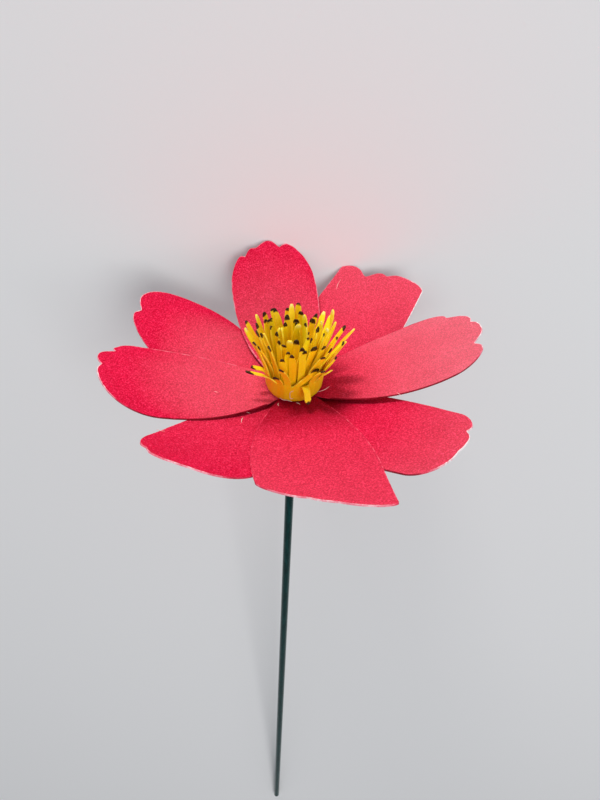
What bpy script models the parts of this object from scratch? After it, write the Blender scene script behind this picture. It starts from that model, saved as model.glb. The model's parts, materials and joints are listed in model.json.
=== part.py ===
"""Paper flower lying at rest: two cut card sheets of petals, a rolled paper fringe and a wire stem.

Every shape is worked out with the flower upright, its hub at the origin and its stem along -Z.
The whole flower is then laid down on its stem end and on two petal tips, with the floor at Z = 0.
Sizes are in metres, and petal outlines are in parts of the flower's radius.
"""
import math
import random
from collections import namedtuple

import bpy
from mathutils import Matrix, Vector

NAME = "paper_flower"

FLOWER_RADIUS = 0.040
CARD = 0.0003
GAP = 0.0003

# petal outline, in parts of the flower's radius
HUB_RADIUS = 0.13
FLAT_SHARE = 0.77
BEND_START = FLAT_SHARE * HUB_RADIUS
WIDEST_AT = 0.70
WAIST_POWER = 2.34
TIP_NARROWING = 0.25
TIP_ROUNDNESS = 2.3
NOTCH_SHARPNESS = 1.5

# azimuth, fold at the hub and rise per radius in degrees, lengths in parts of the flower's radius,
# and the notches in the tip as (place across, depth, width)
Petal = namedtuple("Petal", "azimuth fold rise cup twist length width tilt shoulder notches")
RIGHT = Petal(11.8, 7.1, 23.8, 0.04, -0.017, 1.033, 0.250, -0.001, 0.752,
              ((-0.37, 0.061, 0.15), (0.31, 0.021, 0.08), (0.77, 0.042, 0.10)))
FAR = Petal(101.8, 5.6, 42.5, -0.41, 0.008, 1.001, 0.247, 0.003, 0.740,
            ((-0.24, 0.039, 0.12), (0.35, 0.030, 0.17), (0.64, 0.037, 0.09)))
LEFT = Petal(191.2, 3.5, 22.5, -0.29, -0.070, 0.998, 0.252, -0.048, 0.758,
             ((-0.86, 0.020, 0.10), (-0.70, 0.050, 0.08), (-0.20, 0.026, 0.11)))
NEAR = Petal(279.4, 4.7, 20.7, 0.36, 0.002, 1.007, 0.283, 0.134, 0.935,
             ((-0.30, 0.011, 0.15), (0.12, 0.014, 0.35)))
FAR_RIGHT = Petal(57.1, 4.2, 30.4, 0.24, 0.035, 0.999, 0.277, -0.021, 0.932,
                  ((-0.08, 0.025, 0.14), (0.37, 0.067, 0.21)))
FAR_LEFT = Petal(152.4, 2.8, 29.1, -0.35, -0.016, 1.019, 0.268, 0.017, 0.527,
                 ((0.30, 0.054, 0.16),))
NEAR_LEFT = Petal(238.8, 1.1, 36.6, -0.08, 0.011, 0.998, 0.256, -0.060, 0.780,
                  ((-0.65, 0.022, 0.11), (0.25, 0.036, 0.60)))
NEAR_RIGHT = Petal(320.4, 4.7, 22.1, 0.19, 0.006, 0.996, 0.266, -0.009, 0.848,
                   ((0.54, 0.029, 0.10), (-0.09, 0.006, 0.13)))
UPPER_PETALS = (RIGHT, FAR, LEFT, NEAR)
LOWER_PETALS = (FAR_RIGHT, FAR_LEFT, NEAR_LEFT, NEAR_RIGHT)
REST_ON = (FAR, FAR_RIGHT)
LAYER_GAP = 0.0008
LOWER_DROP = CARD + LAYER_GAP

PETAL_COLUMNS = 12
PETAL_ROWS = 9

# fringe, one strip of paper cut into fingers and wound up
PAPER = 0.00025
TURN_PITCH = 0.00095
FINGER_PITCH = 0.0015
SLIT = 0.00016
BAND_HEIGHT = 0.0042
BAND_TUCK = 0.0004
TUCK_SHARE = 0.3
BAND_FLARE = 6.0
FINGER_LENGTH_LEAST = 0.0090
FINGER_LENGTH_MOST = 0.0108
TAPER_START = 0.8
LEAN_INNER = 3.0
LEAN_OUTER = 25.0
LEAN_SPREAD = 3.6
SIDE_SPREAD = 3.0
STRIP_START = 190.0
SEED = 11

# stem, which ends inside the roll
STEM_RADIUS = 0.00105
STEM_BELOW = 0.240
STEM_IN_ROLL = 0.0035
STEM_HOLE = STEM_RADIUS + GAP + 0.00005
ROLL_CLEARANCE = 0.00045
ROLL_INNER = STEM_RADIUS + ROLL_CLEARANCE + PAPER / 2
ROLL_OUTER = 0.0060
ROLL_SHIFT = -0.0003
SEAT_RISE = 0.0002
ROLL_BASE = CARD / 2 + GAP + SEAT_RISE

# outermost fingers that stray: azimuth, extra lean and side lean (degrees), share of the full length
STRAYS = (
    (205.0, 28.0, 0.0, 0.40),
    (225.0, 35.0, -40.0, 0.44),
    (243.0, 12.0, 0.0, 0.36),
    (262.0, -2.0, 0.0, 0.80),
    (275.0, -16.0, 44.0, 0.52),
    (288.0, 118.0, 0.0, 0.48),
    (302.0, 2.0, 0.0, 0.70),
    (328.0, 16.0, 0.0, 0.54),
    (342.0, 9.0, 0.0, 0.68),
)


def half_width(along, petal):
    """Half the petal's width at a distance along it."""
    part = along / petal.length
    if part < WIDEST_AT:
        return petal.width * (1.0 - ((WIDEST_AT - part) / WIDEST_AT) ** WAIST_POWER)
    return petal.width * (1.0 - TIP_NARROWING * (part - WIDEST_AT))


def tip_reach(across, petal):
    """How far the petal reaches at a place across it, from -1 at one side to 1 at the other."""
    bow = max(0.0, 1.0 - abs(across) ** TIP_ROUNDNESS)
    reach = petal.shoulder + (1.0 - petal.shoulder) * math.sqrt(bow) + petal.tilt * across
    for place, depth, width in petal.notches:
        reach -= depth * math.exp(-abs((across - place) / width) ** NOTCH_SHARPNESS)
    return reach * petal.length


def bend(along, across, petal, drop):
    """Point of the bent petal, in metres, from its flat place in parts of the radius."""
    rise = math.radians(petal.rise)
    azimuth = math.radians(petal.azimuth)
    fold = math.radians(petal.fold)
    past = max(0.0, along - BEND_START)
    slope = fold + rise * past
    out = min(along, BEND_START) + (math.sin(slope) - math.sin(fold)) / rise
    up = (math.cos(fold) - math.cos(slope)) / rise
    lift = (0.5 * petal.cup * across + petal.twist) * across * past
    out -= lift * math.sin(slope)
    up += lift * math.cos(slope)
    x = out * math.cos(azimuth) - across * math.sin(azimuth)
    y = out * math.sin(azimuth) + across * math.cos(azimuth)
    return Vector((x * FLOWER_RADIUS, y * FLOWER_RADIUS, up * FLOWER_RADIUS - drop))


def columns(notches, count):
    """Places across a petal, closer near its sides, with a column in each notch."""
    base = [math.sin(math.pi * (k / count - 0.5)) for k in range(count + 1)]
    cuts = []
    for place, depth, width in notches:
        cuts += [place - 1.5 * width, place, place + 1.5 * width]
    cuts = [c for c in cuts if abs(c) < 0.96]
    kept = [b for b in base if abs(b) > 0.999 or min(abs(b - c) for c in cuts) > 0.06]
    return sorted(kept + cuts)


def petal_grid(petal, drop, before, after, count, rows):
    """Rows of points from the hub to the tip, between the roots shared with both neighbours."""
    places = columns(petal.notches, count)
    grid = []
    for row in range(rows + 1):
        share = row / rows
        line = []
        for place in places:
            turn = math.radians(before + (after - before) * (place + 1.0) / 2.0 - petal.azimuth)
            root_along = HUB_RADIUS * math.cos(turn)
            root_across = HUB_RADIUS * math.sin(turn)
            along = root_along + (tip_reach(place, petal) - root_along) * share
            full = place * half_width(along, petal)
            start = place * half_width(root_along, petal)
            across = full + (root_across - start) * (1.0 - share) ** 4
            line.append(bend(along, across, petal, drop))
        grid.append(line)
    return grid


def sheet_mesh(petals, drop, count, rows):
    """Points and faces of one sheet: a hub with a hole, and four petals round it."""
    points = []
    faces = []
    found = {}

    def index(point):
        key = (round(point.x, 7), round(point.y, 7), round(point.z, 7))
        if key not in found:
            found[key] = len(points)
            points.append(point)
        return found[key]

    number = len(petals)
    for k, petal in enumerate(petals):
        last = petals[k - 1].azimuth - (360.0 if k == 0 else 0.0)
        following = petals[(k + 1) % number].azimuth + (360.0 if k == number - 1 else 0.0)
        before = (last + petal.azimuth) / 2.0
        after = (petal.azimuth + following) / 2.0
        grid = petal_grid(petal, drop, before, after, count, rows)
        rim = []
        for point in grid[0]:
            ring = Vector((point.x, point.y, 0.0)).normalized() * STEM_HOLE
            rim.append(Vector((ring.x, ring.y, -drop)))
        grid.insert(0, rim)
        lines = [[index(p) for p in line] for line in grid]
        for low, high in zip(lines, lines[1:]):
            for i in range(len(low) - 1):
                faces.append((low[i], high[i], high[i + 1], low[i + 1]))
    return points, faces


def tip_edge(petal, drop):
    """Points along a petal's tip, on both faces of the card."""
    points = []
    for place in columns(petal.notches, PETAL_COLUMNS):
        along = tip_reach(place, petal)
        across = place * half_width(along, petal)
        here = bend(along, across, petal, drop)
        inward = here - bend(along - 0.01, across, petal, drop)
        side = bend(along, across + 0.01, petal, drop) - here
        normal = inward.cross(side).normalized()
        points.append(here - normal * CARD / 2)
        points.append(here + normal * CARD / 2)
    return points


def lay_matrix():
    """Turn and shift that lay the flower on its stem end and on two of its petal tips."""
    edges = {petal: tip_edge(petal, 0.0) for petal in UPPER_PETALS}
    edges.update({petal: tip_edge(petal, LOWER_DROP) for petal in LOWER_PETALS})
    mean = math.radians((REST_ON[0].azimuth + REST_ON[1].azimuth) / 2.0)
    up = Vector((-math.cos(mean), -math.sin(mean), 0.1)).normalized()
    foot = Vector((0.0, 0.0, -STEM_BELOW))
    for _ in range(20):
        touch = [min(edges[petal], key=lambda p: p.dot(up)) for petal in REST_ON]
        edge = Vector((-up.x, -up.y, 0.0)).normalized() * STEM_RADIUS
        heel = foot + edge
        normal = (touch[0] - heel).cross(touch[1] - heel).normalized()
        up = normal if normal.dot(up) > 0.0 else -normal
    back = Vector((0.0, 0.0, 1.0))
    ahead = (back - up * back.dot(up)).normalized()
    turn = Matrix((ahead.cross(up), ahead, up)).to_4x4()
    outer = [turn @ point for points in edges.values() for point in points]
    outer.append(turn @ heel)
    outer.append(turn @ (foot - edge))
    middle = (max(p.x for p in outer) + min(p.x for p in outer)) / 2.0
    centre = (max(p.y for p in outer) + min(p.y for p in outer)) / 2.0
    floor = turn @ heel
    return Matrix.Translation((-middle, -centre, -floor.z)) @ turn


def fingers():
    """Each finger of the strip: azimuth, radius at the foot, lean, side lean, length and tip width."""
    rng = random.Random(SEED)
    found = []
    radius = ROLL_INNER
    turn = math.radians(STRIP_START)
    while radius < ROLL_OUTER:
        share = (radius - ROLL_INNER) / (ROLL_OUTER - ROLL_INNER)
        lean = LEAN_INNER + (LEAN_OUTER - LEAN_INNER) * share + rng.uniform(-LEAN_SPREAD, LEAN_SPREAD)
        side = rng.uniform(-SIDE_SPREAD, SIDE_SPREAD)
        length = rng.uniform(FINGER_LENGTH_LEAST, FINGER_LENGTH_MOST)
        tip = rng.choice((0.30, 0.45, 0.60, 0.85))
        found.append([turn, radius, share, lean, side, length, tip])
        step = FINGER_PITCH / radius
        turn += step
        radius += TURN_PITCH * step / (2.0 * math.pi)
    stray(found)
    return found


def stray(found):
    """Give the chosen outermost fingers their extra lean."""
    last = found[-1][0]
    outer = [f for f in found if f[0] > last - 2.0 * math.pi + 0.1]
    for azimuth, extra, side, share in STRAYS:
        aim = math.radians(azimuth)
        near = min(outer, key=lambda f: abs(math.remainder(f[0] - aim, 2.0 * math.pi)))
        near[3] += extra
        near[4] = side
        near[5] *= share


def finger_rows(finger):
    """Left and right points of one finger from the foot of the band to its tip."""
    turn, radius, share, lean, side, length, tip = finger
    out = Vector((math.cos(turn), math.sin(turn), 0.0))
    along = Vector((-math.sin(turn), math.cos(turn), 0.0))
    half = (FINGER_PITCH - SLIT) / 2.0
    flare = math.radians(BAND_FLARE) * share
    foot = out * radius + Vector((ROLL_SHIFT, 0.0, ROLL_BASE))
    rise = out * BAND_HEIGHT * math.tan(flare) + Vector((0.0, 0.0, BAND_HEIGHT))
    tuck = out * BAND_TUCK * share * share
    rows = []
    for centre in (foot - tuck, foot + rise * TUCK_SHARE, foot + rise):
        rows.append((centre - along * half, centre + along * half))
    centre = foot + rise
    slant = math.radians(side)
    shares = (0.0, 0.3, 0.6, TAPER_START, 1.0)
    for last, now in zip(shares, shares[1:]):
        angle = flare + math.radians(lean) * min(1.0, 0.35 + (now + last) * 0.65)
        step = length * (now - last)
        centre = centre + (out * math.sin(angle) + Vector((0.0, 0.0, math.cos(angle)))) * step
        centre = centre + along * math.tan(slant) * step
        reach = half if now < 1.0 else half * tip
        rows.append((centre - along * reach, centre + along * reach))
    return rows


def fringe_mesh():
    """Points and faces of the wound strip."""
    points = []
    faces = []
    previous = None
    for finger in fingers():
        rows = finger_rows(finger)
        first = len(points)
        for left, right in rows:
            points.append(left)
            points.append(right)
        for k in range(len(rows) - 1):
            low = first + 2 * k
            faces.append((low, low + 1, low + 3, low + 2))
        if previous is not None:
            for k in (0, 2):
                faces.append((previous + 1 + k, first + k, first + 2 + k, previous + 3 + k))
        previous = first
    return points, faces


def material(name, colour, roughness, metallic=0.0):
    """Plain surface of one colour."""
    made = bpy.data.materials.new(name)
    made.use_nodes = True
    shader = made.node_tree.nodes["Principled BSDF"]
    shader.inputs["Base Color"].default_value = (*colour, 1.0)
    shader.inputs["Roughness"].default_value = roughness
    shader.inputs["Metallic"].default_value = metallic
    made.diffuse_color = (*colour, 1.0)
    return made


def solid_sheet(name, points, faces, thickness, surface, lay, parts):
    """Object made from an open sheet that is given its thickness."""
    mesh = bpy.data.meshes.new(name)
    mesh.from_pydata([lay @ p for p in points], [], faces)
    mesh.validate()
    mesh.update()
    made = bpy.data.objects.new(name, mesh)
    made.data.materials.append(surface)
    parts.objects.link(made)
    thick = made.modifiers.new("thickness", "SOLIDIFY")
    thick.thickness = thickness
    thick.offset = 0.0
    return made


def build_stem(lay, parts):
    """Straight wire with flat cut ends."""
    curve = bpy.data.curves.new("stem_wire", "CURVE")
    curve.dimensions = "3D"
    curve.bevel_depth = STEM_RADIUS
    curve.bevel_resolution = 3
    curve.use_fill_caps = True
    spline = curve.splines.new("POLY")
    spline.points.add(1)
    for point, height in zip(spline.points, (-STEM_BELOW, ROLL_BASE + STEM_IN_ROLL)):
        point.co = (*(lay @ Vector((0.0, 0.0, height))), 1.0)
    made = bpy.data.objects.new("stem_wire", curve)
    made.data.materials.append(material("stem_coat", (0.010, 0.022, 0.014), 0.25))
    parts.objects.link(made)
    return made


def build_petals(name, petals, drop, surface, lay, parts):
    """One cut sheet of petals."""
    points, faces = sheet_mesh(petals, drop, PETAL_COLUMNS, PETAL_ROWS)
    return solid_sheet(name, points, faces, CARD, surface, lay, parts)


def build_fringe(lay, parts):
    """The wound strip of cut fingers."""
    points, faces = fringe_mesh()
    surface = material("fringe_paper", (0.95, 0.52, 0.02), 0.7)
    return solid_sheet("fringe_roll", points, faces, PAPER, surface, lay, parts)


def main():
    """Clear the scene and build the flower."""
    for old in list(bpy.data.objects):
        bpy.data.objects.remove(old, do_unlink=True)
    parts = bpy.data.collections.new(NAME)
    bpy.context.scene.collection.children.link(parts)
    lay = lay_matrix()
    card = material("petal_card", (0.75, 0.02, 0.06), 0.6)
    build_stem(lay, parts)
    build_petals("petals_upper", UPPER_PETALS, 0.0, card, lay, parts)
    build_petals("petals_lower", LOWER_PETALS, LOWER_DROP, card, lay, parts)
    build_fringe(lay, parts)


main()
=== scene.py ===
"""Paper flower lying on a pale floor, seen from the side that its picture was taken from.

Shapes are worked out with the flower upright, its hub at the origin and its stem along -Z, and are
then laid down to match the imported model. Sizes are in metres, petal outlines in parts of the radius.
"""

import json
import math
import random
from collections import namedtuple

import bpy
from mathutils import Matrix, Vector


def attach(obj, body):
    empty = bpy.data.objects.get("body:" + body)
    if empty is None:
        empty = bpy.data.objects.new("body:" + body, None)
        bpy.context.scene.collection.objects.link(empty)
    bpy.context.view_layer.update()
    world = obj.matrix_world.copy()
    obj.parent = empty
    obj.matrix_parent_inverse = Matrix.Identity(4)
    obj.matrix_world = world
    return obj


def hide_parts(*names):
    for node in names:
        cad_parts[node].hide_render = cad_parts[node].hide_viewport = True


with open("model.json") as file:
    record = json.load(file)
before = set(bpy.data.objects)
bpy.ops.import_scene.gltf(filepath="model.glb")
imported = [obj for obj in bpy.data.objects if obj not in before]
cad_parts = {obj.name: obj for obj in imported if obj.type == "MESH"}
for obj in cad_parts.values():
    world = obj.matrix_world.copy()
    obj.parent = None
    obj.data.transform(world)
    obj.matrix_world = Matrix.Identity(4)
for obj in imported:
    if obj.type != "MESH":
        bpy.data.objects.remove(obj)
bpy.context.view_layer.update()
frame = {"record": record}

FLOWER_RADIUS = 0.040
CARD = 0.0003
GAP = 0.0003

# turn of the head about the stem, in degrees, as the flower lies
HEAD_TURN = -0.871

# petal outline, in parts of the flower's radius
HUB_RADIUS = 0.13
FLAT_SHARE = 0.77
BEND_START = FLAT_SHARE * HUB_RADIUS
WIDEST_AT = 0.70
WAIST_POWER = 2.34
TIP_NARROWING = 0.25
TIP_ROUNDNESS = 2.3
NOTCH_SHARPNESS = 1.5
ROOT_BLEND_POWER = 4

# azimuth, fold at the hub and rise per radius in degrees, lengths in parts of the flower's radius,
# and the notches in the tip as (place across, depth, width)
Petal = namedtuple("Petal", "azimuth fold rise cup twist length width tilt shoulder notches")
RIGHT = Petal(11.8, 7.1, 23.8, 0.04, -0.017, 1.033, 0.250, -0.001, 0.752,
              ((-0.37, 0.061, 0.15), (0.31, 0.021, 0.08), (0.77, 0.042, 0.10)))
FAR = Petal(101.8, 5.6, 42.5, -0.41, 0.008, 1.001, 0.247, 0.003, 0.740,
            ((-0.24, 0.039, 0.12), (0.35, 0.030, 0.17), (0.64, 0.037, 0.09)))
LEFT = Petal(191.2, 3.5, 22.5, -0.29, -0.070, 0.998, 0.252, -0.048, 0.758,
             ((-0.86, 0.020, 0.10), (-0.70, 0.050, 0.08), (-0.20, 0.026, 0.11)))
NEAR = Petal(279.4, 4.7, 20.7, 0.36, 0.002, 1.007, 0.283, 0.134, 0.935,
             ((-0.30, 0.011, 0.15), (0.12, 0.014, 0.35)))
FAR_RIGHT = Petal(57.1, 4.2, 30.4, 0.24, 0.035, 0.999, 0.277, -0.021, 0.932,
                  ((-0.08, 0.025, 0.14), (0.37, 0.067, 0.21)))
FAR_LEFT = Petal(152.4, 2.8, 29.1, -0.35, -0.016, 1.019, 0.268, 0.017, 0.527,
                 ((0.30, 0.054, 0.16),))
NEAR_LEFT = Petal(238.8, 1.1, 36.6, -0.08, 0.011, 0.998, 0.256, -0.060, 0.780,
                  ((-0.65, 0.022, 0.11), (0.25, 0.036, 0.60)))
NEAR_RIGHT = Petal(320.4, 4.7, 22.1, 0.19, 0.006, 0.996, 0.266, -0.009, 0.848,
                   ((0.54, 0.029, 0.10), (-0.09, 0.006, 0.13)))
UPPER_PETALS = (RIGHT, FAR, LEFT, NEAR)
LOWER_PETALS = (FAR_RIGHT, FAR_LEFT, NEAR_LEFT, NEAR_RIGHT)

# the two sheets, the mesh of a petal, and the bevel of its cut edge with angles in degrees
LAYER_GAP = 0.0008
LOWER_DROP = CARD + LAYER_GAP
PETAL_COLUMNS = 100
PETAL_ROWS = 34
MERGE_DIGITS = 7
EASE = 0.00004
EASE_ANGLE = 60.0
SHEET_SHARP_ANGLE = 38.0

# painted light and wear of each petal, in the same order: how pale its cut edge is at one side, the tip
# and the other side, as painted light and shade with pale torn fibres; the painted sheen on its face at
# the root, halfway and at the tip; and the painted shadow at its root
PaintedLightAndWear = namedtuple("PaintedLightAndWear", "low_side tip high_side root_dust middle_dust tip_dust stain")
UPPER_PAINTED_LIGHT_AND_WEAR = (
    PaintedLightAndWear(0.0, 0.85, 0.25, 0.0, 0.092, 0.160, 0.35),
    PaintedLightAndWear(0.55, 0.50, 0.50, 0.03, 0.052, 0.0, 0.0),
    PaintedLightAndWear(0.50, 0.75, 0.0, 0.085, 0.058, -0.03, 0.0),
    PaintedLightAndWear(0.32, 0.70, 0.42, 0.0, 0.024, 0.037, 0.75),
)
LOWER_PAINTED_LIGHT_AND_WEAR = (
    PaintedLightAndWear(0.95, 0.50, 0.45, 0.0, 0.036, 0.068, 0.0),
    PaintedLightAndWear(0.40, 0.70, 0.50, 0.045, 0.065, -0.035, 0.0),
    PaintedLightAndWear(0.35, 0.68, 0.20, 0.02, 0.015, 0.0, 0.35),
    PaintedLightAndWear(0.0, 1.0, 0.30, 0.0, 0.008, 0.058, 1.0),
)
# how pale the cut edge is painted, with its painted light and shade; the painted sheen; the painted
# shadow; and nearness to the cut edge
PETAL_LOOKS = ("pale", "dust", "stain", "margin")
SIDE_EDGE_TONE_POWER = 3
HALFWAY = 0.5

# the painted shadow at the root fades between two distances along the petal, in parts of the radius
PAINTED_SHADOW_INNER = 0.15
PAINTED_SHADOW_OUTER = 0.46

# width of the margin along the cut edge, painted in the edge's colour with its painted light and shade,
# the share of the petal where it starts, and its rows at the tip in widths
MARGIN = 0.00030
MARGIN_START = 0.1
TIP_MARGINS = (1.5, 1.0, 0.5, 0.0)

# stem
STEM_RADIUS = 0.00105
STEM_BELOW = 0.240
STEM_IN_ROLL = 0.0035
STEM_HOLE = STEM_RADIUS + GAP + 0.00005
STEM_SIDES = 32
STEM_STEPS = 60
STEM_BEVEL = 0.00012
STEM_SHARP_ANGLE = 40.0

# fringe: the strip, its turns round the stem and its band
PAPER = 0.00025
TURN_PITCH = 0.00095
FINGER_PITCH = 0.0015
SLIT = 0.00016
ROLL_CLEARANCE = 0.00045
ROLL_INNER = STEM_RADIUS + ROLL_CLEARANCE + PAPER / 2
ROLL_OUTER = 0.0060
ROLL_SHIFT = -0.0003
SEAT_RISE = 0.0002
ROLL_BASE = CARD / 2 + GAP + SEAT_RISE
STRIP_START = 190.0
SEED = 11
BAND_HEIGHT = 0.0042
BAND_TUCK = 0.0004
TUCK_SHARE = 0.3
BAND_FLARE = 6.0
BAND_ROWS = (0.0, 0.1, 0.2, TUCK_SHARE, 1.0)

# fingers: leans, sway and twist in degrees, a finger's turn in radians, rows and tapers in parts of its
# length, tips in parts of its width
Finger = namedtuple("Finger", "turn radius share lean side length tip")
FINGER_LENGTH_LEAST = 0.0090
FINGER_LENGTH_MOST = 0.0108
LEAN_INNER = 3.0
LEAN_OUTER = 25.0
LEAN_SPREAD = 3.6
SIDE_SPREAD = 3.0
CURL_START = 0.35
CURL_GROWTH = 0.65
TAPER_START = 0.8
TIP_WIDTHS = (0.50, 0.65, 0.80, 0.95)
FINGER_ROWS = (0.1, 0.2, 0.3, 0.42, 0.54, 0.66, 0.74, TAPER_START, 0.86, 0.91, 0.95, 0.98, 1.0)
CORNER_START = 0.91
TIP_CORNER = 0.75
CREASE = 0.00014
CREASE_GROWTH = 3.0
SWAY = 13.0
TWIST = 22.0

# outermost fingers that stray: azimuth, extra lean and side lean (degrees), share of the full length
STRAYS = (
    (205.0, 28.0, 0.0, 0.40),
    (225.0, 35.0, -40.0, 0.44),
    (243.0, 12.0, 0.0, 0.36),
    (262.0, -2.0, 0.0, 0.80),
    (275.0, -16.0, 44.0, 0.52),
    (288.0, 118.0, 0.0, 0.48),
    (302.0, 2.0, 0.0, 0.70),
    (328.0, 16.0, 0.0, 0.54),
    (342.0, 9.0, 0.0, 0.68),
)

# how much less than a full turn, in radians, counts as the strip's last turn
LAST_TURN_CUT = 0.1

# ink and a painted pale highlight at the tips of the fingers, with lengths from the tip
LOOKS_SEED = 5
INK_LEAST = 0.0001
INK_MOST = 0.0008
INKLESS_SHARE = 0.26
PAINTED_HIGHLIGHT_LENGTH = 0.0009

# threads of glue on the roll, as paths of (azimuth, height), and on petals, as (petal, along, across)
GLUE_RADIUS = 0.00007
GLUE_PATHS = (
    ((272.0, 0.0033), (267.5, 0.0029), (266.0, 0.0019), (268.5, 0.0010), (272.0, 0.0012)),
    ((244.0, 0.0005), (252.0, 0.0003), (261.0, 0.0004), (270.0, 0.0002)),
    ((NEAR, 0.139, -0.010), (NEAR, 0.148, 0.004), (NEAR, 0.162, 0.008)),
    ((NEAR, 0.134, -0.096), (NEAR, 0.142, -0.102), (NEAR, 0.156, -0.100)),
    ((NEAR_LEFT, 0.258, -0.112), (NEAR_LEFT, 0.282, -0.106), (NEAR_LEFT, 0.298, -0.088),
     (NEAR_LEFT, 0.296, -0.070)),
    ((NEAR_LEFT, 0.352, -0.076), (NEAR_LEFT, 0.368, -0.070), (NEAR_LEFT, 0.392, -0.056)),
    ((328.0, 0.0008), (RIGHT, 0.155, -0.060), (RIGHT, 0.180, -0.045)),
)

# loose fibres of the card, as paths of (petal, along, across)
FIBRE_RADIUS = 0.00006
FIBRE_PATHS = (
    ((LEFT, 0.420, 0.038), (LEFT, 0.411, 0.041), (LEFT, 0.400, 0.044)),
    ((FAR_RIGHT, 0.770, 0.209), (FAR_RIGHT, 0.800, 0.219), (FAR_RIGHT, 0.840, 0.222)),
    ((RIGHT, 0.492, -0.222), (RIGHT, 0.500, -0.236), (RIGHT, 0.506, -0.252)),
    ((NEAR_LEFT, 0.745, -0.236), (NEAR_LEFT, 0.757, -0.250), (NEAR_LEFT, 0.762, -0.270)),
)

# a thread's lift above its surface and its thickness at the ends, in parts of its radius
THREAD_LIFT = 0.6
THREAD_END = 0.4
THREAD_ROUNDNESS = 2
NORMAL_STEP = 0.01

# floor, lamps with places from the head, sizes in metres and power in watts, and the world
FLOOR_REACH = 4.0
FLOOR_COLOUR = (0.86, 0.86, 0.87)
FLOOR_ROUGHNESS = 0.9
Lamp = namedtuple("Lamp", "name place width height power colour")
LAMPS = (
    Lamp("key", (-0.15, 0.58, 0.022), 0.16, 0.09, 2.7, (1.0, 0.97, 0.93)),
    Lamp("fill", (0.26, 0.10, 0.78), 0.5, 0.5, 3.3, (1.0, 0.99, 0.98)),
)
WORLD_COLOUR = (0.86, 0.90, 0.95)
WORLD_STRENGTH = 0.35

# camera, from the places of the petals in the picture; it aims just above the hub
PICTURE = (600, 800)
HUB_PIXEL = (293.5, 382.5)
FOCAL_PIXELS = 652.1
CAMERA_DISTANCE = 0.13586
CAMERA_RISE = 39.55
CAMERA_ROLL = -2.48
AIM_RISE = 0.0011
SENSOR_HEIGHT = 36.0
CLIP_START = 0.005

# sockets of the node that mixes colours
MIX_FIRST = 6
MIX_SECOND = 7
MIX_RESULT = 2

# plain stops of the colour ramps
BLACK = (0.0, 0.0, 0.0)
WHITE = (1.0, 1.0, 1.0)


def lay_matrix():
    """Place of the upright flower in the model's frame, from the stem end that the record gives."""
    mount = next(m for m in frame["record"]["mounts"] if m["name"] == "stem_end")
    outward = Vector(mount["axis"]).normalized()
    up_stem = -outward
    level = Vector((1.0, 0.0, 0.0))
    across = up_stem.cross(level)
    turn = math.radians(HEAD_TURN)
    x_axis = level * math.cos(turn) + across * math.sin(turn)
    y_axis = up_stem.cross(x_axis)
    place = Matrix((x_axis, y_axis, up_stem)).transposed().to_4x4()
    place.translation = Vector(mount["pos_m"]) + up_stem * STEM_BELOW
    return place


LAY = lay_matrix()


def half_width(along, petal):
    """Half the petal's width at a distance along it."""
    part = along / petal.length
    if part < WIDEST_AT:
        return petal.width * (1.0 - ((WIDEST_AT - part) / WIDEST_AT) ** WAIST_POWER)
    return petal.width * (1.0 - TIP_NARROWING * (part - WIDEST_AT))


def tip_reach(across, petal):
    """How far the petal reaches at a place across it, from -1 at one side to 1 at the other."""
    bow = max(0.0, 1.0 - abs(across) ** TIP_ROUNDNESS)
    reach = petal.shoulder + (1.0 - petal.shoulder) * math.sqrt(bow) + petal.tilt * across
    for place, depth, width in petal.notches:
        reach -= depth * math.exp(-abs((across - place) / width) ** NOTCH_SHARPNESS)
    return reach * petal.length


def bend(along, across, petal, drop):
    """Point of the bent petal, in metres, from its flat place in parts of the radius."""
    rise = math.radians(petal.rise)
    azimuth = math.radians(petal.azimuth)
    fold = math.radians(petal.fold)
    past = max(0.0, along - BEND_START)
    slope = fold + rise * past
    out = min(along, BEND_START) + (math.sin(slope) - math.sin(fold)) / rise
    up = (math.cos(fold) - math.cos(slope)) / rise
    lift = (0.5 * petal.cup * across + petal.twist) * across * past
    out -= lift * math.sin(slope)
    up += lift * math.cos(slope)
    x = out * math.cos(azimuth) - across * math.sin(azimuth)
    y = out * math.sin(azimuth) + across * math.cos(azimuth)
    return Vector((x * FLOWER_RADIUS, y * FLOWER_RADIUS, up * FLOWER_RADIUS - drop))


def petal_shares():
    """Share of the way to the tip of each row, with close rows at the tip."""
    shares = [row / PETAL_ROWS for row in range(PETAL_ROWS)]
    reach = FLOWER_RADIUS * (1.0 - HUB_RADIUS)
    return shares + [1.0 - widths * MARGIN / reach for widths in TIP_MARGINS]


def petal_grid(petal, painted_light_and_wear, drop, before, after):
    """Rows of (point, looks) from the hub to the tip, between the roots shared with both neighbours."""
    places = [math.sin(math.pi * (k / PETAL_COLUMNS - 0.5)) for k in range(PETAL_COLUMNS + 1)]
    grid = []
    for share in petal_shares():
        line = []
        for place in places:
            turn = math.radians(before + (after - before) * (place + 1.0) / 2.0 - petal.azimuth)
            root_along = HUB_RADIUS * math.cos(turn)
            root_across = HUB_RADIUS * math.sin(turn)
            along = root_along + (tip_reach(place, petal) - root_along) * share
            full = place * half_width(along, petal)
            start = place * half_width(root_along, petal)
            across = full + (root_across - start) * (1.0 - share) ** ROOT_BLEND_POWER
            looks = point_looks(painted_light_and_wear, place, share, along, half_width(along, petal))
            line.append((bend(along, across, petal, drop), looks))
        grid.append(line)
    rim = []
    for point, looks in grid[0]:
        ring = Vector((point.x, point.y, 0.0)).normalized() * STEM_HOLE
        rim.append((Vector((ring.x, ring.y, -drop)), looks))
    grid.insert(0, rim)
    return grid


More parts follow.
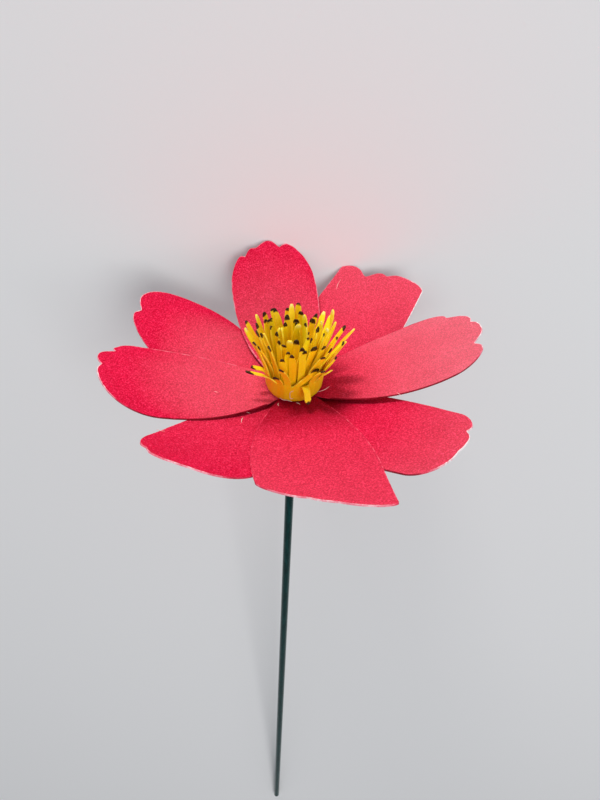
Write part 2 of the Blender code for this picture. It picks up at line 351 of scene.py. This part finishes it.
def point_looks(painted_light_and_wear, place, share, along, half):
    """How pale the cut edge is painted in light and shade, how much painted sheen and painted shadow a
    point of a petal has, and how near the cut edge it is.
    """
    # how pale the cut edge is painted: painted light and shade, with pale torn fibres
    side = painted_light_and_wear.low_side if place < 0.0 else painted_light_and_wear.high_side
    pale = side + (painted_light_and_wear.tip - side) * (1.0 - abs(place) ** SIDE_EDGE_TONE_POWER)
    # painted sheen: a pale haze on the face, from the root to the tip
    if share < HALFWAY:
        dust = painted_light_and_wear.root_dust + (painted_light_and_wear.middle_dust - painted_light_and_wear.root_dust) * share / HALFWAY
    else:
        dust = painted_light_and_wear.middle_dust + (painted_light_and_wear.tip_dust - painted_light_and_wear.middle_dust) * (share - HALFWAY) / HALFWAY
    # painted shadow: darker near the roll, fading outward
    root = min(1.0, max(0.0, (PAINTED_SHADOW_OUTER - along) / (PAINTED_SHADOW_OUTER - PAINTED_SHADOW_INNER)))
    stain = painted_light_and_wear.stain * root * root * (3.0 - 2.0 * root)
    margin = 0.0
    if share >= MARGIN_START:
        from_side = (1.0 - abs(place)) * half * FLOWER_RADIUS
        from_tip = (1.0 - share) * FLOWER_RADIUS * (1.0 - HUB_RADIUS)
        margin = max(0.0, 1.0 - min(from_side, from_tip) / MARGIN)
    return {"pale": pale, "dust": dust, "stain": stain, "margin": margin}


def sheet_mesh(petals, painted_lights_and_wear, drop):
    """Points, faces and looks of one sheet: a hub with a hole, and its petals."""
    points = []
    faces = []
    looks = {name: [] for name in PETAL_LOOKS}
    found = {}

    def index(point, here):
        """Number of a point, which is added with its looks unless it is there already."""
        key = tuple(round(part, MERGE_DIGITS) for part in point)
        if key not in found:
            found[key] = len(points)
            points.append(point)
            for name, value in here.items():
                looks[name].append(value)
        return found[key]

    number = len(petals)
    for k, petal in enumerate(petals):
        last = petals[k - 1].azimuth - (360.0 if k == 0 else 0.0)
        following = petals[(k + 1) % number].azimuth + (360.0 if k == number - 1 else 0.0)
        before = (last + petal.azimuth) / 2.0
        after = (petal.azimuth + following) / 2.0
        grid = petal_grid(petal, painted_lights_and_wear[k], drop, before, after)
        lines = [[index(*entry) for entry in line] for line in grid]
        for low, high in zip(lines, lines[1:]):
            for i in range(len(low) - 1):
                faces.append((low[i], high[i], high[i + 1], low[i + 1]))
    return points, faces, looks


def fingers():
    """Every finger of the strip, from the innermost one."""
    rng = random.Random(SEED)
    found = []
    radius = ROLL_INNER
    turn = math.radians(STRIP_START)
    while radius < ROLL_OUTER:
        share = (radius - ROLL_INNER) / (ROLL_OUTER - ROLL_INNER)
        lean = LEAN_INNER + (LEAN_OUTER - LEAN_INNER) * share + rng.uniform(-LEAN_SPREAD, LEAN_SPREAD)
        side = rng.uniform(-SIDE_SPREAD, SIDE_SPREAD)
        length = rng.uniform(FINGER_LENGTH_LEAST, FINGER_LENGTH_MOST)
        tip = rng.choice(TIP_WIDTHS)
        found.append(Finger(turn, radius, share, lean, side, length, tip))
        step = FINGER_PITCH / radius
        turn += step
        radius += TURN_PITCH * step / (2.0 * math.pi)
    for azimuth, extra, side, share in STRAYS:
        near = outermost(found, azimuth)
        moved = near._replace(lean=near.lean + extra, side=side, length=near.length * share)
        found[found.index(near)] = moved
    return found


def outermost(found, azimuth):
    """Finger of the strip's last turn that stands nearest to an azimuth."""
    aim = math.radians(azimuth)
    outer = [f for f in found if f.turn > found[-1].turn - 2.0 * math.pi + LAST_TURN_CUT]
    return min(outer, key=lambda f: abs(math.remainder(f.turn - aim, 2.0 * math.pi)))


def directions(turn):
    """Level directions out from the roll and along its strip."""
    out = Vector((math.cos(turn), math.sin(turn), 0.0))
    along = Vector((-math.sin(turn), math.cos(turn), 0.0))
    return out, along


def finger_rows(finger, crease, sway, twist):
    """Left, middle and right points of one finger from the foot of the band to its tip.

    Each row also gives how far it is from the tip. The sway and the twist grow towards the tip.
    """
    turn, radius, share, lean, side, length, tip = finger
    out, along = directions(turn)
    half = (FINGER_PITCH - SLIT) / 2.0
    flare = math.radians(BAND_FLARE) * share
    foot = out * radius + Vector((ROLL_SHIFT, 0.0, ROLL_BASE))
    rise = out * BAND_HEIGHT * math.tan(flare) + Vector((0.0, 0.0, BAND_HEIGHT))
    rows = []
    for part in BAND_ROWS:
        tuck = BAND_TUCK * share * share * max(0.0, 1.0 - part / TUCK_SHARE) ** 2
        rows.append((foot + rise * part - out * tuck, half, 0.0, length))
    centre = foot + rise
    slant = math.radians(side)
    last = 0.0
    for now in FINGER_ROWS:
        angle = flare + math.radians(lean) * min(1.0, CURL_START + (now + last) * CURL_GROWTH)
        angle += math.radians(sway[0]) * now
        step = length * (now - last)
        centre = centre + (out * math.sin(angle) + Vector((0.0, 0.0, math.cos(angle)))) * step
        centre = centre + along * math.tan(slant + math.radians(sway[1]) * now) * step
        narrow = 1.0 - (1.0 - tip) * max(0.0, now - TAPER_START) / (1.0 - TAPER_START)
        corner = max(0.0, (now - CORNER_START) / (1.0 - CORNER_START))
        narrow *= math.sqrt(1.0 - TIP_CORNER * corner ** 2)
        fold = crease * min(1.0, CREASE_GROWTH * now)
        rows.append((centre, half * narrow, fold, length * (1.0 - now)))
        last = now
    points = []
    for centre, reach, fold, left_over in rows:
        turned = math.radians(twist) * max(0.0, 1.0 - left_over / length)
        sideways = (along * math.cos(turned) + out * math.sin(turned)) * reach
        points.append((centre - sideways, centre + out * fold, centre + sideways, left_over))
    return points


def fringe_mesh():
    """Points and faces of the wound strip, with a tint, the bare length and a painted pale highlight at
    each point.
    """
    rng = random.Random(LOOKS_SEED)
    points = []
    faces = []
    looks = {"tint": [], "bare": [], "painted_light_mark": []}
    previous = None
    for finger in fingers():
        ink = rng.uniform(INK_LEAST, INK_MOST)
        sway = (rng.uniform(-SWAY, SWAY), rng.uniform(-SWAY, SWAY))
        crease = rng.uniform(-CREASE, CREASE)
        twist = rng.uniform(-TWIST, TWIST)
        tint = rng.random()
        inkless = rng.random() < INKLESS_SHARE
        if inkless:
            ink = -INK_MOST
        rows = finger_rows(finger, crease, sway, twist)
        first = len(points)
        for left, middle, right, left_over in rows:
            points += [left, middle, right]
            looks["tint"] += [tint] * 3
            looks["bare"] += [(left_over - ink) / INK_MOST] * 3
            # painted pale highlight at the tips of the inkless fingers
            looks["painted_light_mark"] += [max(0.0, 1.0 - left_over / PAINTED_HIGHLIGHT_LENGTH) * inkless] * 3
        for k in range(len(rows) - 1):
            low = first + 3 * k
            for side in (0, 1):
                faces.append((low + side, low + side + 1, low + side + 4, low + side + 3))
        if previous is not None:
            for k in range(len(BAND_ROWS) - 1):
                right = previous + 3 * k + 2
                left = first + 3 * k
                faces.append((right, left, left + 3, right + 3))
        previous = first
    return points, faces, looks


class Nodes:
    """Small helper that adds and links shader nodes of one material, and gives their outputs."""

    def __init__(self, name):
        self.material = bpy.data.materials.new(name)
        self.material.use_nodes = True
        self.tree = self.material.node_tree
        self.shader = self.tree.nodes["Principled BSDF"]

    def add(self, kind, **values):
        """A new node with the given settings and input values."""
        node = self.tree.nodes.new(kind)
        for key, value in values.items():
            if key in node.inputs:
                node.inputs[key].default_value = value
            else:
                setattr(node, key, value)
        return node

    def link(self, output, node, socket):
        """Join an output to an input of a node."""
        self.tree.links.new(output, node.inputs[socket])

    def noise(self, scale, detail, roughness=0.5, stretch=(1.0, 1.0, 1.0)):
        """Noise laid out in the object's own metres."""
        place = self.add("ShaderNodeTexCoord")
        mapping = self.add("ShaderNodeMapping", Scale=stretch)
        self.link(place.outputs["Object"], mapping, "Vector")
        noise = self.add("ShaderNodeTexNoise", Scale=scale, Detail=detail, Roughness=roughness)
        self.link(mapping.outputs["Vector"], noise, "Vector")
        return noise.outputs["Fac"]

    def ramp(self, source, *stops):
        """Colours by a value, from (place, colour) pairs."""
        ramp = self.add("ShaderNodeValToRGB")
        while len(ramp.color_ramp.elements) < len(stops):
            ramp.color_ramp.elements.new(0.5)
        for element, (place, colour) in zip(ramp.color_ramp.elements, stops):
            element.position = place
            element.color = (*colour, 1.0)
        self.link(source, ramp, "Fac")
        return ramp.outputs["Color"]

    def mix(self, kind, first, second, share=None):
        """Mix of two colours, whole or by the share that an output gives."""
        mix = self.add("ShaderNodeMix", data_type="RGBA", blend_type=kind)
        if share is None:
            mix.inputs["Factor"].default_value = 1.0
        else:
            self.link(share, mix, "Factor")
        self.link(first, mix, MIX_FIRST)
        self.link(second, mix, MIX_SECOND)
        return mix.outputs[MIX_RESULT]

    def attribute(self, name):
        """Value that the mesh gives at each point."""
        return self.add("ShaderNodeAttribute", attribute_name=name).outputs["Fac"]

    def jitter(self, value, noise, amount):
        """A value moved up and down by a noise."""
        moved = self.add("ShaderNodeMath", operation="MULTIPLY_ADD")
        self.link(noise, moved, 0)
        moved.inputs[1].default_value = amount
        moved.inputs[2].default_value = -amount / 2.0
        total = self.add("ShaderNodeMath", operation="ADD")
        self.link(moved.outputs["Value"], total, 0)
        self.link(value, total, 1)
        return total.outputs["Value"]

    def bump(self, height, strength, distance):
        """Relief on the shader's normal."""
        bump = self.add("ShaderNodeBump", Strength=strength, Distance=distance)
        self.link(height, bump, "Height")
        self.link(bump.outputs["Normal"], self.shader, "Normal")

    def surface(self, colour, roughness, **values):
        """Colour of the shader from an output, and its constant values."""
        self.link(colour, self.shader, "Base Color")
        self.shader.inputs["Roughness"].default_value = roughness
        for key, value in values.items():
            self.shader.inputs[key.replace("_", " ")].default_value = value


def edge_colour(m, noise):
    """Colour of the cut edge: dyed nearly through, with painted shade (dark crimson) and painted light
    (pale pink) by side, and pale torn fibres, mostly at the tips.
    """
    painted_light_mark = m.jitter(m.attribute("pale"), noise, amount=1.1)
    # dark crimson stands for painted shade, pale pink for painted light, near white for pale torn
    # fibres
    return m.ramp(painted_light_mark, (0.05, (0.26, 0.003, 0.016)), (0.40, (0.76, 0.038, 0.095)),
                  (0.68, (0.90, 0.29, 0.37)), (0.95, (0.97, 0.86, 0.88)))


def card_material():
    """Red card with a fine grain and an uneven dye, a painted sheen of pale haze, a painted shadow at
    some roots, and a margin along the cut edge in the edge's painted light and shade.
    """
    m = Nodes("card_red")
    grain = m.noise(scale=3400.0, detail=3.0, roughness=0.6)
    fine = m.ramp(grain, (0.34, (0.54, 0.002, 0.031)), (0.50, (0.71, 0.004, 0.048)),
                  (0.68, (0.96, 0.035, 0.126)))
    cloud = m.noise(scale=160.0, detail=2.0)
    wide = m.ramp(cloud, (0.3, (0.92, 0.86, 0.88)), (0.7, WHITE))
    dyed = m.mix("MULTIPLY", fine, wide)
    # painted sheen: a pale haze mixed over the dye
    dust = m.jitter(m.attribute("dust"), grain, amount=0.05)
    pale = m.ramp(cloud, (0.3, (1.0, 0.72, 0.78)), (0.7, (1.0, 0.80, 0.85)))
    with_painted_sheen = m.mix("MIX", dyed, pale, dust)
    # painted shadow: darker near the roll on some petals
    stain = m.ramp(m.attribute("stain"), (0.0, WHITE), (1.0, (0.30, 0.03, 0.10)))
    with_painted_shadow = m.mix("MULTIPLY", with_painted_sheen, stain)
    # the cut edge's colour, with its painted light and shade, laid on a margin along the edge
    torn = m.noise(scale=650.0, detail=3.0, roughness=0.7)
    painted_light_mark = edge_colour(m, torn)
    near = m.jitter(m.attribute("margin"), torn, amount=0.8)
    cut = m.ramp(near, (0.45, BLACK), (0.65, WHITE))
    m.surface(m.mix("MIX", with_painted_shadow, painted_light_mark, cut), roughness=0.50, Specular_IOR_Level=0.045)
    relief = m.noise(scale=1500.0, detail=5.0, roughness=0.70)
    m.bump(relief, strength=1.0, distance=0.00028)
    return m.material


def cut_edge_material():
    """Cut edge of the card, with painted light and shade and pale torn fibres."""
    m = Nodes("card_cut_edge")
    noise = m.noise(scale=650.0, detail=3.0, roughness=0.7)
    m.surface(edge_colour(m, noise), roughness=0.8)
    m.bump(noise, strength=0.5, distance=0.0001)
    return m.material


def inked(m, colour, raggedness):
    """The colour with ink over it near the tip, up to a ragged border."""
    blot = m.noise(scale=1500.0, detail=3.0, roughness=0.65)
    bare = m.jitter(m.attribute("bare"), blot, raggedness)
    ink = m.ramp(bare, (0.0, (0.030, 0.012, 0.018)), (0.25, (0.16, 0.065, 0.030)), (0.50, WHITE))
    return m.mix("MULTIPLY", colour, ink)


def fringe_material():
    """Golden paper, each finger a little more lemon or more orange, inked at the tip or, on the inkless
    fingers, painted with a pale highlight at the tip.
    """
    m = Nodes("fringe_gold")
    gold = m.ramp(m.attribute("tint"), (0.0, (1.0, 0.62, 0.002)), (0.5, (1.0, 0.73, 0.003)),
                  (1.0, (1.0, 0.82, 0.008)))
    grain = m.noise(scale=3000.0, detail=3.0, roughness=0.6)
    fine = m.ramp(grain, (0.3, (0.96, 0.94, 0.85)), (0.7, WHITE))
    dark = inked(m, m.mix("MULTIPLY", gold, fine), raggedness=1.1)
    # painted pale highlight at the tips of the inkless fingers, in a lemon-white colour
    painted_light_mark = m.jitter(m.attribute("painted_light_mark"), grain, amount=0.4)
    light = m.ramp(grain, (0.35, (1.0, 0.84, 0.16)), (0.65, (1.0, 0.94, 0.46)))
    m.surface(m.mix("MIX", dark, light, painted_light_mark), roughness=0.5, Specular_IOR_Level=0.25,
              Subsurface_Weight=0.25, Subsurface_Radius=(1.0, 0.75, 0.08), Subsurface_Scale=0.0005)
    m.bump(grain, strength=0.35, distance=0.0001)
    return m.material


def fringe_edge_material():
    """Cut edge of the golden paper, paler than its faces and only partly inked."""
    m = Nodes("fringe_cut_edge")
    noise = m.noise(scale=1200.0, detail=3.0, roughness=0.6)
    light = m.ramp(noise, (0.38, (1.0, 0.68, 0.006)), (0.62, (1.0, 0.84, 0.070)))
    m.surface(inked(m, light, raggedness=2.2), roughness=0.6, Specular_IOR_Level=0.25)
    return m.material


def wire_material():
    """Dark green coating on the wire, glossy and faintly uneven along its length."""
    m = Nodes("wire_coat")
    streaks = m.noise(scale=500.0, detail=3.0, roughness=0.6, stretch=(4.0, 0.15, 4.0))
    green = m.ramp(streaks, (0.35, (0.0006, 0.010, 0.0095)), (0.65, (0.002, 0.034, 0.032)))
    m.surface(green, roughness=0.26, Specular_IOR_Level=0.34, Specular_Tint=(0.12, 0.90, 0.84, 1.0))
    m.bump(streaks, strength=0.25, distance=0.0001)
    return m.material


def mottled_material(name, scale, dark, light, roughness, metallic=0.0):
    """Surface that varies between two colours with a fine noise."""
    m = Nodes(name)
    noise = m.noise(scale, detail=2.0)
    m.surface(m.ramp(noise, (0.3, dark), (0.7, light)), roughness, Metallic=metallic)
    return m.material


def plain_material(name, colour, roughness):
    """Surface of one even colour."""
    m = Nodes(name)
    m.shader.inputs["Base Color"].default_value = (*colour, 1.0)
    m.shader.inputs["Roughness"].default_value = roughness
    return m.material


def add_object(name, data):
    """New object in the scene."""
    made = bpy.data.objects.new(name, data)
    bpy.context.scene.collection.objects.link(made)
    return made


def settle(name, draft):
    """Smooth mesh of a draft with its modifiers applied. The draft is removed."""
    depsgraph = bpy.context.evaluated_depsgraph_get()
    mesh = bpy.data.meshes.new_from_object(draft.evaluated_get(depsgraph), depsgraph=depsgraph)
    bpy.data.objects.remove(draft, do_unlink=True)
    mesh.name = name
    mesh.shade_smooth()
    return mesh


def rides(piece, slot, *nodes):
    """Attach a finished piece to the root body, and hide the imported parts that it replaces."""
    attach(piece, "root")
    if nodes:
        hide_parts(*nodes)


def solid_sheet(name, points, faces, thickness, materials, values, soften=0.0):
    """Object made from an open sheet, with its thickness and its cut edges, laid in place.

    values holds named attributes, each with its value at each point.
    """
    mesh = bpy.data.meshes.new(name + "_sheet")
    mesh.from_pydata([LAY @ p for p in points], [], faces)
    for key, numbers in values.items():
        mesh.attributes.new(key, "FLOAT", "POINT").data.foreach_set("value", numbers)
    for material in materials:
        mesh.materials.append(material)
    mesh.update()
    draft = add_object(name + "_draft", mesh)
    thick = draft.modifiers.new("thickness", "SOLIDIFY")
    thick.thickness = thickness
    thick.offset = 0.0
    thick.material_offset_rim = len(materials) - 1
    if soften:
        ease = draft.modifiers.new("ease", "BEVEL")
        ease.width = soften
        ease.segments = 1
        ease.limit_method = "ANGLE"
        ease.angle_limit = math.radians(EASE_ANGLE)
    final = settle(name, draft)
    final.set_sharp_from_angle(angle=math.radians(SHEET_SHARP_ANGLE))
    return add_object(name, final)


def make_petals():
    """Both cut sheets of petals."""
    materials = (card_material(), cut_edge_material())
    points, faces, looks = sheet_mesh(UPPER_PETALS, UPPER_PAINTED_LIGHT_AND_WEAR, 0.0)
    upper = solid_sheet("upper_petal_sheet", points, faces, CARD, materials, looks, soften=EASE)
    rides(upper, "petal_card", "petals_upper")
    points, faces, looks = sheet_mesh(LOWER_PETALS, LOWER_PAINTED_LIGHT_AND_WEAR, LOWER_DROP)
    lower = solid_sheet("lower_petal_sheet", points, faces, CARD, materials, looks, soften=EASE)
    rides(lower, "petal_card", "petals_lower")


def make_fringe():
    """The wound strip of fingers with inked tips."""
    materials = (fringe_material(), fringe_edge_material())
    points, faces, looks = fringe_mesh()
    roll = solid_sheet("fringe_strip", points, faces, PAPER, materials, looks)
    rides(roll, "fringe_paper", "fringe_roll")


def on_petal(petal, along, across, lift):
    """Point just above a petal's upper face."""
    drop = 0.0 if petal in UPPER_PETALS else LOWER_DROP
    low = bend(along, across, petal, drop)
    ahead = bend(along + NORMAL_STEP, across, petal, drop) - low
    aside = bend(along, across + NORMAL_STEP, petal, drop) - low
    return low + ahead.cross(aside).normalized() * (CARD / 2.0 + lift)


def on_roll(azimuth, height, lift):
    """Point just outside the roll's band."""
    near = outermost(fingers(), azimuth)
    out, along = directions(near.turn)
    slide = near.radius * math.tan(math.remainder(math.radians(azimuth) - near.turn, 2.0 * math.pi))
    flare = math.tan(math.radians(BAND_FLARE) * near.share) * height
    place = out * (near.radius + flare + PAPER / 2.0 + lift) + along * slide
    return place + Vector((ROLL_SHIFT, 0.0, ROLL_BASE + height))


def thread_point(place, lift):
    """Point of a thread, from a place of two values on the roll or of three values on a petal."""
    return on_roll(*place, lift) if len(place) == 2 else on_petal(*place, lift)


def make_threads(name, paths, radius, material, slot):
    """Thin round threads through the given places, as one piece."""
    curve = bpy.data.curves.new(name + "_path", "CURVE")
    curve.dimensions = "3D"
    curve.bevel_depth = radius
    curve.bevel_resolution = THREAD_ROUNDNESS
    curve.use_fill_caps = True
    for path in paths:
        spline = curve.splines.new("BEZIER")
        spline.bezier_points.add(len(path) - 1)
        for point, place in zip(spline.bezier_points, path):
            point.co = LAY @ thread_point(place, radius * THREAD_LIFT)
            point.handle_left_type = "AUTO"
            point.handle_right_type = "AUTO"
        spline.bezier_points[0].radius = THREAD_END
        spline.bezier_points[-1].radius = THREAD_END
    mesh = settle(name, add_object(name + "_draft", curve))
    mesh.materials.clear()
    mesh.materials.append(material)
    rides(add_object(name, mesh), slot)


def make_glue_and_fibres():
    """Threads of glue on the roll and the petals, and loose fibres of the card."""
    glue = mottled_material("glue_white", scale=2500.0, dark=(0.90, 0.74, 0.62),
                            light=(0.97, 0.92, 0.86), roughness=0.25)
    make_threads("glue_threads", GLUE_PATHS, GLUE_RADIUS, glue, "fringe_paper")
    fibre = mottled_material("card_fibre", scale=2500.0, dark=(0.90, 0.35, 0.38),
                             light=(0.96, 0.66, 0.62), roughness=0.7)
    make_threads("card_fibres", FIBRE_PATHS, FIBRE_RADIUS, fibre, "petal_card")


def stem_profile():
    """Radius and height of each ring of the wire, from its cut end up."""
    top = ROLL_BASE + STEM_IN_ROLL
    narrow = STEM_RADIUS - STEM_BEVEL
    profile = [(narrow, -STEM_BELOW), (STEM_RADIUS, -STEM_BELOW + STEM_BEVEL)]
    for k in range(1, STEM_STEPS):
        rise = (top + STEM_BELOW - 2 * STEM_BEVEL) * k / STEM_STEPS
        profile.append((STEM_RADIUS, -STEM_BELOW + STEM_BEVEL + rise))
    return profile + [(STEM_RADIUS, top - STEM_BEVEL), (narrow, top)]


def make_stem():
    """Round coated wire with a bare cut end."""
    profile = stem_profile()
    points = []
    for radius, height in profile:
        for k in range(STEM_SIDES):
            angle = 2.0 * math.pi * k / STEM_SIDES
            points.append(Vector((radius * math.cos(angle), radius * math.sin(angle), height)))
    faces = [tuple(reversed(range(STEM_SIDES)))]
    for ring in range(len(profile) - 1):
        for k in range(STEM_SIDES):
            a = ring * STEM_SIDES + k
            b = ring * STEM_SIDES + (k + 1) % STEM_SIDES
            faces.append((a, b, b + STEM_SIDES, a + STEM_SIDES))
    faces.append(tuple(range(len(points) - STEM_SIDES, len(points))))
    mesh = bpy.data.meshes.new("stem_coated_wire")
    mesh.from_pydata([LAY @ p for p in points], [], faces)
    mesh.materials.append(wire_material())
    mesh.materials.append(mottled_material("wire_cut_steel", scale=4000.0, dark=(0.25, 0.25, 0.26),
                                           light=(0.5, 0.5, 0.52), roughness=0.4, metallic=1.0))
    mesh.polygons[0].material_index = 1
    mesh.polygons[len(faces) - 1].material_index = 1
    mesh.shade_smooth()
    mesh.set_sharp_from_angle(angle=math.radians(STEM_SHARP_ANGLE))
    rides(add_object("stem_coated_wire", mesh), "stem_coat", "stem_wire")


def make_floor():
    """Plain pale floor."""
    mesh = bpy.data.meshes.new("floor")
    corners = [(-1, -1), (1, -1), (1, 1), (-1, 1)]
    mesh.from_pydata([(x * FLOOR_REACH, y * FLOOR_REACH, 0.0) for x, y in corners], [], [(0, 1, 2, 3)])
    mesh.materials.append(plain_material("floor_pale", FLOOR_COLOUR, FLOOR_ROUGHNESS))
    floor = add_object("floor", mesh)


def make_lights():
    """Low key from behind the head and a little to its left, fill from above and a pale world."""
    head = LAY.translation
    for lamp in LAMPS:
        data = bpy.data.lights.new(lamp.name, "AREA")
        data.shape = "RECTANGLE"
        data.size = lamp.width
        data.size_y = lamp.height
        data.energy = lamp.power
        data.color = lamp.colour
        light = add_object(lamp.name, data)
        light.location = head + Vector(lamp.place)
        light.rotation_euler = (light.location - head).to_track_quat("Z", "Y").to_euler()
    world = bpy.data.worlds.new("pale_world")
    world.use_nodes = True
    background = world.node_tree.nodes["Background"]
    background.inputs["Color"].default_value = (*WORLD_COLOUR, 1.0)
    background.inputs["Strength"].default_value = WORLD_STRENGTH
    bpy.context.scene.world = world


def make_camera():
    """Camera at the picture's place over the flower, as far from the hub and as tilted as it was."""
    rise = math.radians(CAMERA_RISE)
    from_hub = Vector((0.0, -math.cos(rise), math.sin(rise))) * CAMERA_DISTANCE
    ahead = -from_hub.normalized()
    right = Vector((1.0, 0.0, 0.0))
    up = right.cross(ahead)
    yaw = math.atan((HUB_PIXEL[0] - PICTURE[0] / 2) / FOCAL_PIXELS)
    pitch = math.atan((HUB_PIXEL[1] - PICTURE[1] / 2) / FOCAL_PIXELS)
    turn_yaw = Matrix.Rotation(yaw, 3, "Y")
    turn_pitch = Matrix.Rotation(pitch, 3, "X")
    turn_roll = Matrix.Rotation(math.radians(CAMERA_ROLL), 3, "Z")
    seen = turn_roll @ turn_pitch @ turn_yaw @ Matrix((right, up, ahead))
    facing = Matrix((seen[0], seen[1], -seen[2])).transposed().to_4x4()
    data = bpy.data.cameras.new("picture_camera")
    data.sensor_fit = "VERTICAL"
    data.sensor_height = SENSOR_HEIGHT
    data.lens = FOCAL_PIXELS / PICTURE[1] * SENSOR_HEIGHT
    data.clip_start = CLIP_START
    camera = add_object("picture_camera", data)
    aim = Vector((0.0, 0.0, AIM_RISE))
    camera.matrix_world = LAY @ Matrix.Translation(aim + from_hub) @ facing
    bpy.context.scene.camera = camera


bpy.context.scene.view_settings.view_transform = "Standard"
make_camera()
make_lights()
make_floor()
make_petals()
make_fringe()
make_glue_and_fibres()
make_stem()
